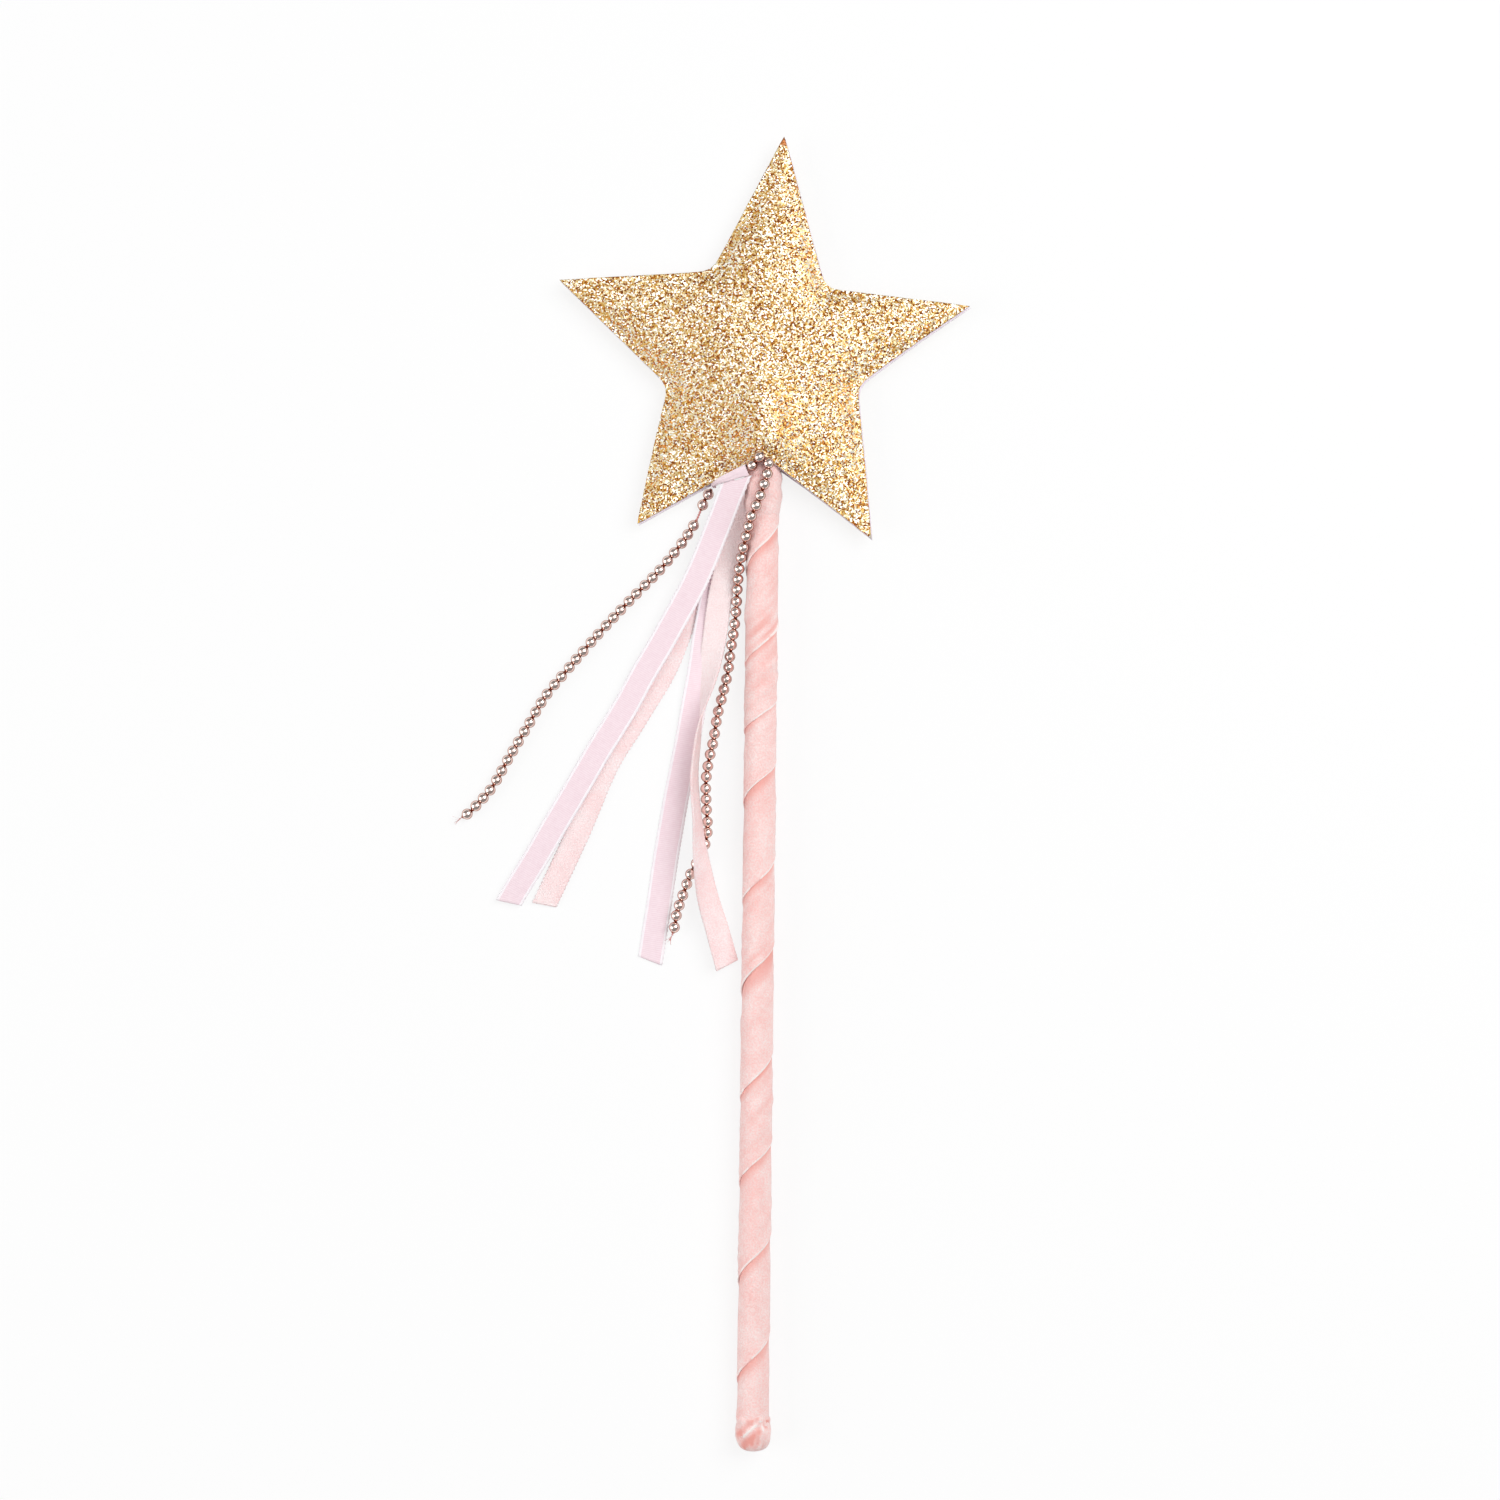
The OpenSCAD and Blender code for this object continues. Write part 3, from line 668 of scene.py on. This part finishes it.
STRINGS = {
    "left": ("left_beads", 2.2, 2, 2, [
        (-15.5, -9.8, 3), (-16.5, -11.5, 2.3), (-17.6, -13.4, 2), (-19.8, -19, 1.8), (-22, -22.7, 1.7),
        (-24, -25.8, 1.6), (-30.7, -34.2, 1.6), (-40.5, -44.4, 1.6), (-49.7, -54.5, 1.6), (-58.6, -65, 1.6),
        (-65, -73, 1.6), (-70.4, -82.4, 1.6), (-75.4, -91, 1.6), (-80.5, -100.2, 1.6), (-85, -105.5, 1.6),
        (-87.2, -107.8, 1.6), (-89.6, -109.4, 1.6)]),
    "right": ("right_beads", 0.2, 1.2, None, [
        (1.6, -2.1, 12.1), (1.2, -5.6, 12.1), (0.3, -8.8, 12.1), (-0.8, -12, 12.1), (-2.1, -15.3, 11.9),
        (-3.5, -18.5, 10.9), (-5.2, -25.4, 9), (-6.6, -32, 6.5), (-7.3, -38, 4.6), (-7.6, -45, 3.3),
        (-8.2, -51.6, 2.7), (-9.2, -58.3, 2.4), (-10, -65, 2.4), (-11.5, -71.7, 2.4), (-13, -78, 2.4),
        (-14, -85, 2.4), (-15.4, -91.5, 2.4), (-16.2, -98, 2.4), (-16, -105, 2.4), (-15.6, -112.5, 2.4),
        (-17, -119, 2.4), (-20.2, -125, 2.4), (-22.4, -131, 2.4), (-24.4, -137, 2.4), (-24.9, -140.5, 2.4),
        (-25.8, -144, 2.4)]),
}
STEP = 0.4 * MM
string_length = {}
for side_name, (body, first, tail, lost, points) in STRINGS.items():
    places = smooth_route(from_mouth(points), STEP)
    length = sum((b.xyz - a.xyz).length for a, b in zip(places, places[1:]))
    string_length[side_name] = length
    frames = route_frames(places)
    spots = []
    for k in range(math.floor((length - (tail + first) * MM) / BEAD_PITCH) + 1):
        i = round((first * MM + k * BEAD_PITCH) / length * (len(places) - 1))
        if k != lost:
            spots.append((frames[i][0], frames[i][1]))
    beads = string_beads(f"beads_{side_name}_moulded", spots, body, f"beads_{side_name}")
    thread = thread_piece(f"thread_{side_name}_twisted", places, body, f"bead_thread_{side_name}")
    ends = fray(f"thread_{side_name}_fray", frames[-1][0], frames[-1][1], body, 7, 3 * MM, len(points))
    print(side_name, "string:", len(spots), "beads on", round(length / MM, 1), "mm")

# %% [markdown]
# ## Velvet winding
#
# One velvet ribbon is wound up the stick by hand, so the laps are not quite even. Their heights at the front
# were measured one by one from the bottom. Every turn covers the edge of the one below: the lower edge stands
# proud with a pale selvedge, and the velvet sinks towards the edge that the next turn hides. Its colour is
# painted darker in the creases and towards that hidden edge: painted shade.

# %% Lap heights round the stick
LAPS = [-26, 1, 28.5, 58.5, 87, 112.5, 145.5, 171, 201, 220.5, 241.5, 271.5, 301.5, 330]
WRAP_TOP = MOUTH_Y + 1.2 * MM
WRAP_BOTTOM = END_Y + 4.5 * MM
UNDER = 4.5 * MM
TURN_STEPS = 56


def lap_height(turns):
    """Height of the ribbon's lower edge above the wand's end after so many turns from the first lap."""
    i = min(max(math.floor(turns), 0), len(LAPS) - 2)
    t = turns - i
    a = LAPS[max(i - 1, 0)] if i else 2 * LAPS[0] - LAPS[1]
    b = LAPS[i]
    c = LAPS[i + 1]
    d = LAPS[i + 2] if i + 2 < len(LAPS) else 2 * c - b
    square = 2 * a - 5 * b + 4 * c - d
    cube = 3 * b - a - 3 * c + d
    return END_Y + MM * (b + 0.5 * t * (c - a + t * (square + t * cube)))


# %% Winding
def paint_crease_shade(bm, shades):
    """Keeps on each point how much painted shade it gets in creases and folds, for the velvet's darker colour.
    """
    deep = bm.verts.layers.float.new("deep")
    for vert, amount in zip(bm.verts, shades):
        vert[deep] = min(1, amount)


EDGE_MARKS = [0, 0.004, 0.012, 0.022, 0.035, 0.06, 0.09, 0.12, 0.16, 0.2, 0.24, 0.28, 0.33, 0.38, 0.43, 0.48,
              0.53, 0.58, 0.63, 0.68, 0.73, 0.78, 0.83, 0.88, 0.94, 1]
RUMPLES = [(243, 9), (272, 7), (150, 6)]
rows = []
shades = []
total_steps = (len(LAPS) - 2) * TURN_STEPS
for step in range(total_steps + 1):
    turns = step / TURN_STEPS
    low = lap_height(turns)
    high = lap_height(turns + 1) + UNDER
    angle = 2 * math.pi * turns
    ravel = 0.25 * MM * noise.noise(Vector((turns * 9, 0.3, 0)))
    row = []
    for mark in EDGE_MARKS:
        y = low + (high - low) * mark + ravel * (1 - mark)
        lapped = max(0, (mark - 0.55) / 0.45)
        radius = WRAP_R + 0.12 * MM - 0.46 * MM * lapped
        radius += 0.14 * MM * math.exp(-((mark - 0.022) / 0.02) ** 2)
        crease = noise.noise(Vector((turns * 2.6, (y - low) * 520, 1.7)))
        strain = max(0.15, noise.noise(Vector((turns * 1.1, (y - low) * 60, 4.4))) + 0.35)
        for rumple, spread in RUMPLES:
            strain += 0.9 * math.exp(-(((y - END_Y) / MM - rumple) / spread) ** 2)
        ridge_here = max(0, crease) * strain * (1 - lapped)
        radius += 0.6 * MM * ridge_here
        # Painted shade: darker in the sunken creases and towards the edge that the next turn covers.
        shades.append(max(0, -crease) * strain * 0.7 + 0.75 * max(0, min(1, (mark - 0.74) / 0.1)))
        z = max(0.03 * MM, AXIS_Z + radius * math.cos(angle))
        row.append((AXIS_X + radius * math.sin(angle), y, z))
    rows.append(row)
bm = sweep(rows)
paint_crease_shade(bm, shades)
bm.faces.ensure_lookup_table()
first_face = bm.faces[0]
outward = first_face.calc_center_median() - Vector((AXIS_X, first_face.calc_center_median().y, AXIS_Z))
if first_face.normal.dot(outward) < 0:
    bmesh.ops.reverse_faces(bm, faces=bm.faces)
for face in bm.faces:
    middle = face.calc_center_median()
    bare = noise.noise(middle * 260) > -0.22
    mark = max(vert[bm.verts.layers.float["across"]] for vert in face.verts)
    if bare and mark < 3.5 / (len(EDGE_MARKS) - 1):
        face.material_index = 1
for y, toward in ((WRAP_BOTTOM, -1), (WRAP_TOP, 1)):
    geometry = bm.verts[:] + bm.edges[:] + bm.faces[:]
    bmesh.ops.bisect_plane(bm, geom=geometry, plane_co=(0, y, 0), plane_no=(0, toward, 0), clear_outer=True)
winding = make_piece("velvet_winding", bm, "wand", "velvet_wrap", (velvet, selvedge))
cloth_body = winding.modifiers.new("thickness", "SOLIDIFY")
cloth_body.thickness = 0.35 * MM
cloth_body.offset = -1
winding_area = sum(face.area for face in winding.data.polygons)
print("winding:", len(winding.data.polygons), "faces,", round(winding_area * 1e4, 1), "cm2")

# %% [markdown]
# ## Folded end
#
# At the bottom the velvet is folded over the end of the stick and glued, so it bulges a little. Its upper edge
# is a pale crumpled fold, and below that the cloth is gathered in soft creases.

# %% End cap
CAP_R = (cap_high[0] - cap_low[0]) / 2
CAP_LEN = cap_high[1] - cap_low[1]
CAP_SHAPE = [(0.02, 0), (0.26, 0.005), (0.5, 0.03), (0.68, 0.075), (0.81, 0.14), (0.9, 0.22), (0.96, 0.31),
             (0.99, 0.4), (1, 0.49), (0.985, 0.58), (0.955, 0.66), (0.915, 0.73), (0.9, 0.8), (0.925, 0.87),
             (0.94, 0.93), (0.91, 0.98), (0.86, 1), (0.8, 0.97)]
AROUND = 96
profile = smooth_route([Vector((share, up_share, 0, 0)) for share, up_share in CAP_SHAPE], 0.03)
rows = []
shades = []
whites = []
for share, up_share, _, _ in profile:
    row = []
    for k in range(AROUND):
        angle = 2 * math.pi * k / AROUND
        way = Vector((math.sin(angle), 0, math.cos(angle)))
        front = max(0, min(1, way.z * 3))
        fold = noise.noise(Vector((way.x * 1.6, up_share * 2.2 + 0.5 * way.x, way.z * 1.6)))
        pucker = noise.noise(Vector((way.x * 4.5, up_share * 3.5, way.z * 4.5)))
        above = up_share - 0.7 - 0.5 * way.x * share - 0.12 * pucker
        crumple = math.exp(-(above / 0.065) ** 2) * front * max(0, 1 - (way.x / 0.75) ** 4)
        aside = (way.x - 0.55 + 0.1 * pucker) / 0.11
        branch = math.exp(-aside ** 2 - ((up_share - 0.68) / 0.14) ** 2) * front
        white = max(crumple, branch)
        whites.append(white * (0.75 + pucker))
        # Painted shade under and above the crumpled fold at the front, less where the cloth bulges out and on
        # the pale fold.
        under = math.exp(-((above + 0.27) / 0.15) ** 2)
        over = math.exp(-((above - 0.24) / 0.12) ** 2 - (way.x + 0.6) ** 2)
        shades.append(max(0, 0.95 * (under + over) * front - 0.9 * fold - 0.6 * pucker - white))
        radius = CAP_R * share + (0.5 * fold + 0.3 * pucker + 0.4 * white) * MM * min(1, share * 1.4)
        radius *= 1 - 0.2 * max(0, 0.2 - way.x) * max(0, 0.75 - up_share)
        lip = 4.4 * MM * max(0, up_share - 0.75) * noise.noise(way * 1.3 + Vector((5, 0, 0)))
        y = cap_low[1] + CAP_LEN * up_share + lip
        row.append((AXIS_X + radius * way.x, y, max(0.03 * MM, AXIS_Z + radius * way.z)))
    rows.append(row)
bm = sweep(rows, closed=True)
paint_crease_shade(bm, shades)
bmesh.ops.holes_fill(bm, edges=[e for e in bm.edges if e.is_boundary and e.verts[0].co.y < cap_low[1] + MM])
bmesh.ops.recalc_face_normals(bm, faces=bm.faces)
for face in bm.faces:
    if sum(whites[vert.index] for vert in face.verts) / len(face.verts) > 0.45:
        face.material_index = 1
end_cap = make_piece("folded_end", bm, "wand", "end_cap", (velvet, selvedge))
print("folded end", round(CAP_LEN / MM, 1), "mm long")

# %% [markdown]
# ## The star
#
# Two panels are cut by hand, so no two arms are alike. Both follow the heights of the solid panels: a low
# crown over the filling, and a tent where the stick goes in. Small dents come on top of that. The back panel
# sits a little off, so its pale raw edge peeks out along the lower edges.

# %% Star outline
TIPS = [(85.5, 66.6), (14.6, 63.6), (-58.9, 63.3), (-126.7, 63), (160, 65.9)]
NOTCHES = [(49.3, 27.5), (-16.8, 29.1), (-90.2, 29.7), (-162.6, 30.2), (122, 30.2)]
EDGE_POINTS = 18


def polar(angle, radius):
    return Vector((math.cos(math.radians(angle)), math.sin(math.radians(angle)), 0)) * radius * MM


corners = [polar(*place) for pair in zip(TIPS, NOTCHES) for place in pair]
outline = []
for i, corner in enumerate(corners):
    ahead = corners[(i + 1) % 10]
    across = (ahead - corner).cross(Vector((0, 0, 1))).normalized()
    for k in range(EDGE_POINTS):
        t = k / EDGE_POINTS
        point = corner.lerp(ahead, t)
        bow = 0.5 * MM * math.sin(math.pi * t) * noise.noise(Vector((i * 2.7, 0.5, 0)))
        nick = 0.12 * MM * noise.noise(point * 900)
        outline.append(point + across * (bow + nick))
for turn in range(2):
    rounded = [p.copy() for p in outline]
    for i in (1, 3, 7, 9):
        for k in range(-1, 2):
            j = i * EDGE_POINTS + k
            rounded[j] = (outline[j - 1] + outline[j] * 2 + outline[(j + 1) % len(outline)]) / 4
    for i in range(0, 10, 2):
        j = i * EDGE_POINTS
        rounded[j] = outline[j] * 0.96 + (outline[j - 1] + outline[j + 1]) * 0.02
    outline = rounded
star_middle = Vector((AXIS_X, STAR_MIDDLE_Y, 0))
print("outline of", len(outline), "points")


# %% Star panels
CROWN_H = 3.9 * MM
TENT_H = 5.1 * MM
TENT_W = 6.5 * MM
TENT_FOOT = 16 * MM
PUFF_R = 33 * MM
SEAM = 0.95
PANEL_T = 0.8 * MM
MOUTH_R = 29.7 * MM
SHARES = [1, 0.985, 0.965, 0.94, 0.91, 0.87, 0.83, 0.79, 0.75, 0.71, 0.67, 0.63, 0.59, 0.55, 0.51, 0.47, 0.43,
          0.39, 0.35, 0.31, 0.27, 0.23, 0.19, 0.15, 0.11, 0.07, 0.03]


def swell(p, s):
    """Height of a panel above the line where the two panels meet: the crown, and the tent over the stick."""
    t = min(1, max(0, -p.y / MOUTH_R))
    ridge_line = 0.5 * math.exp(-(p.x / TENT_W) ** 2) + 0.5 * math.exp(-(p.x / TENT_FOOT) ** 2)
    tent = TENT_H * t * t * (3 - 2 * t) * ridge_line
    puff = (1 - math.exp(-7 * max(0, SEAM - s))) * (0.14 + 0.86 * math.exp(-(p.length / PUFF_R) ** 2))
    return CROWN_H * puff + tent


def dents(p, s):
    """Soft dents of stuffed cloth, fading out at the cut edge."""
    broad = noise.noise(p * 45 + Vector((0, 0, 2)))
    fine = noise.noise(p * 140 + Vector((0, 0, 7)))
    return (0.55 * broad + 0.2 * fine) * MM * min(1, (1 - s) * 6 + 0.25)


def star_sheet(height, shift):
    rows = []
    for s in SHARES:
        rows.append([star_middle + p * s + shift + Vector((0, 0, height(p * s, s))) for p in outline])
    bm = sweep(rows, closed=True)
    bmesh.ops.holes_fill(bm, edges=[e for e in bm.edges if e.is_boundary and
                                    (e.verts[0].co.xy - (star_middle + shift).xy).length < 5 * MM])
    bmesh.ops.recalc_face_normals(bm, faces=bm.faces)
    return bm


bm = star_sheet(lambda p, s: AXIS_Z + swell(p, s) + PANEL_T + dents(p, s), Vector())
if sum(face.normal.z for face in bm.faces) < 0:
    bmesh.ops.reverse_faces(bm, faces=bm.faces)
front = make_piece("star_front_glitter", bm, "wand", "star_front", (glitter, backing))

BACK_SHIFT = Vector((0.35, -0.45, 0)) * MM
bm = star_sheet(lambda p, s: max(0.05 * MM, AXIS_Z - swell(p, s) - PANEL_T - dents(p, s)), BACK_SHIFT)
if sum(face.normal.z for face in bm.faces) > 0:
    bmesh.ops.reverse_faces(bm, faces=bm.faces)
back = make_piece("star_back_glitter", bm, "wand", "star_back", (glitter, backing))
for panel in (front, back):
    cut = panel.modifiers.new("thickness", "SOLIDIFY")
    cut.thickness = PANEL_T * 0.9
    cut.offset = -1
    cut.material_offset = 1
    cut.material_offset_rim = 1
print("panels of", len(front.data.polygons), "faces each")

# %% [markdown]
# Inside the star lies loose fibre filling. It only shows at the mouth, but it is there in full.

# %% Filling
FILL_GAP = 0.5 * MM
FILL_SHARES = [0.03, 0.2, 0.36, 0.5, 0.62, 0.72, 0.8, 0.86]
rows = []
for s in FILL_SHARES:
    rows.append([star_middle + p * s + Vector((0, 0, AXIS_Z + swell(p * s, s) - FILL_GAP))
                 for p in outline[::3]])
for s in reversed(FILL_SHARES):
    rows.append([star_middle + p * s
                 + Vector((0, 0, max(PANEL_T + 0.3 * MM, AXIS_Z - swell(p * s, s) + FILL_GAP)))
                 for p in outline[::3]])
bm = sweep(rows, closed=True)
bmesh.ops.holes_fill(bm, edges=[e for e in bm.edges if e.is_boundary])
bmesh.ops.recalc_face_normals(bm, faces=bm.faces)
filling = make_piece("fibre_filling", bm, "wand", "star_filling", (wadding,))
print("filling of", len(filling.data.polygons), "faces")

# %% [markdown]
# ## Ties below the star
#
# The satin goes round the stick and folds over to the left, where the four tails come out from under the
# fold. A velvet band and a loop of thread go round the stick as well, and two beads sit on the thread at
# the front.

# %% Bands round the stick
def ring_band(name, node, y_low, y_high, radius, thick, material, crease=0.1 * MM):
    """A band of ribbon round the stick, gathered into a few slanting creases and drawn in at its edges."""
    rows = []
    for k in range(25):
        t = k / 24
        row = []
        for n in range(72):
            angle = 2 * math.pi * n / 72
            way = Vector((math.sin(angle), 0, math.cos(angle)))
            stray = noise.noise(way * 1.4 + Vector((0, 3 * t, 0)))
            gather = math.sin(2 * math.pi * 2.5 * t + 2.2 * way.x + stray)
            edge = max(0, abs(2 * t - 1) - 0.3) / 0.7
            reach = radius + crease * gather * (1 - edge) - (radius - WRAP_R + 0.15 * MM) * edge * edge
            row.append((AXIS_X + way.x * reach, MOUTH_Y + (y_low + (y_high - y_low) * t) * MM,
                        max(0.05 * MM, AXIS_Z + way.z * reach)))
        rows.append(row)
    bm = sweep(rows, closed=True)
    bmesh.ops.recalc_face_normals(bm, faces=bm.faces)
    piece = make_piece(name, bm, "wand", node, (material,))
    body_of_cloth = piece.modifiers.new("thickness", "SOLIDIFY")
    body_of_cloth.thickness = thick
    body_of_cloth.offset = 0
    return piece


ring_band("satin_band", "satin_tie", -11, -6.7, WRAP_R + 0.45 * MM, 0.3 * MM, satin)
ring_band("velvet_band", "velvet_tie", -18, -2, WRAP_R + 0.8 * MM, 0.3 * MM, velvet, 0.22 * MM)

FOLD = [(-4.9, -4.5, 11.2), (-6.8, -5.2, 10.9), (-9.6, -6.3, 10.3), (-12.6, -7.5, 10.2), (-14.3, -8.5, 8.8),
        (-15, -9, 6.8), (-14.3, -8.9, 4.8)]
FOLD_HALF = 1.7 * MM
places = smooth_route(from_mouth(FOLD), 0.4 * MM)
rows = []
for i, (at, ahead, side, up) in enumerate(route_frames(places)):
    run = i / (len(places) - 1)
    row = []
    for k in range(19):
        v = 2 * k / 18 - 1
        crease = 0.08 * MM * math.sin(5 * v + 2.2 * run) * (1 - v * v)
        curl = -2 * MM * max(0, abs(v) - 0.7) ** 2 - 0.43 * MM * max(0, -v - 0.3)
        row.append(at + side * v * FOLD_HALF * max(0.35, 1 - 0.9 * run) + up * (crease + curl))
    rows.append(row)
bm = sweep(rows)
for face in bm.faces:
    marks = [vert[bm.verts.layers.float["across"]] for vert in face.verts]
    if min(marks) < 0.001 or max(marks) > 0.999:
        face.material_index = 1
fold = make_piece("satin_fold", bm, "wand", None, (satin, satin_edge))
fold_body = fold.modifiers.new("thickness", "SOLIDIFY")
fold_body.thickness = 0.35 * MM
fold_body.offset = 0
print("bands and fold made")

# %% Thread loop and tie beads
loop = []
for k in range(73):
    angle = 2 * math.pi * k / 72
    loop.append(Vector((AXIS_X + (WRAP_R + 0.45 * MM) * math.sin(angle), MOUTH_Y - 6 * MM,
                        max(0.45 * MM, AXIS_Z + (WRAP_R + 0.45 * MM) * math.cos(angle)), 0)))
thread_piece("tie_loop_twisted", loop, "wand", "bead_tie_loop")
TIE = [(-0.1, 0.1, 12.7), (-1.2, -0.7, 12.3), (-3.3, -3.1, 11.2), (-4.6, -4.6, 9.3), (-6.1, -5.7, 7.4),
       (-6.6, -5.9, 5.4), (-7.6, -5.9, 3.8), (-9, -5.8, 3.1), (-11.5, -5.6, 3), (-14, -7, 3.2), (-15, -9.4, 3.3)]
places = from_mouth(TIE)
thread_piece("tie_thread_twisted", smooth_route(places, 0.4 * MM), "wand", "bead_tie_thread")
heading = (places[2].xyz - places[1].xyz).normalized()
string_beads("tie_beads_moulded", [(places[1].xyz, heading), (places[2].xyz, heading)], "wand", "tie_beads")
print("tie made")

# %% [markdown]
# ## Hidden wood and glue
#
# The dowel and the ring of hot-melt glue keep their solids and only get a surface of their own.

# %% Wood and glue
timber, tree = shader_material("birch")
stretch = add_node(tree, "ShaderNodeMapping")
stretch.inputs["Scale"].default_value = (1, 0.05, 1)
tree.links.new(add_node(tree, "ShaderNodeTexCoord").outputs["Object"], stretch.inputs["Vector"])
grain = stretched(tree, noise_at(tree, 900, 4, stretch.outputs["Vector"]), 0.3, 0.7)
wood_colour = mix_colours(tree, grain, (*srgb(206, 172, 124), 1), (*srgb(232, 205, 162), 1))
surface = add_node(tree, "ShaderNodeBsdfPrincipled")
surface.inputs["Roughness"].default_value = 0.6
output = add_node(tree, "ShaderNodeOutputMaterial")
tree.links.new(wood_colour, surface.inputs["Base Color"])
tree.links.new(surface.outputs[0], output.inputs["Surface"])

glue, tree = shader_material("hot_melt_glue")
cloud = stretched(tree, noise_at(tree, 500, 2), 0.3, 0.7)
glue_colour = mix_colours(tree, cloud, (*srgb(226, 218, 196), 1), (*srgb(244, 240, 226), 1))
surface = add_node(tree, "ShaderNodeBsdfPrincipled")
surface.inputs["Roughness"].default_value = 0.35
output = add_node(tree, "ShaderNodeOutputMaterial")
tree.links.new(glue_colour, surface.inputs["Base Color"])
tree.links.new(surface.outputs[0], output.inputs["Surface"])
for node, material in (("dowel", timber), ("glue_joint", glue)):
    solid = bpy.data.objects[node]
    solid.data.materials.clear()
    solid.data.materials.append(material)
print("wood and glue dressed")
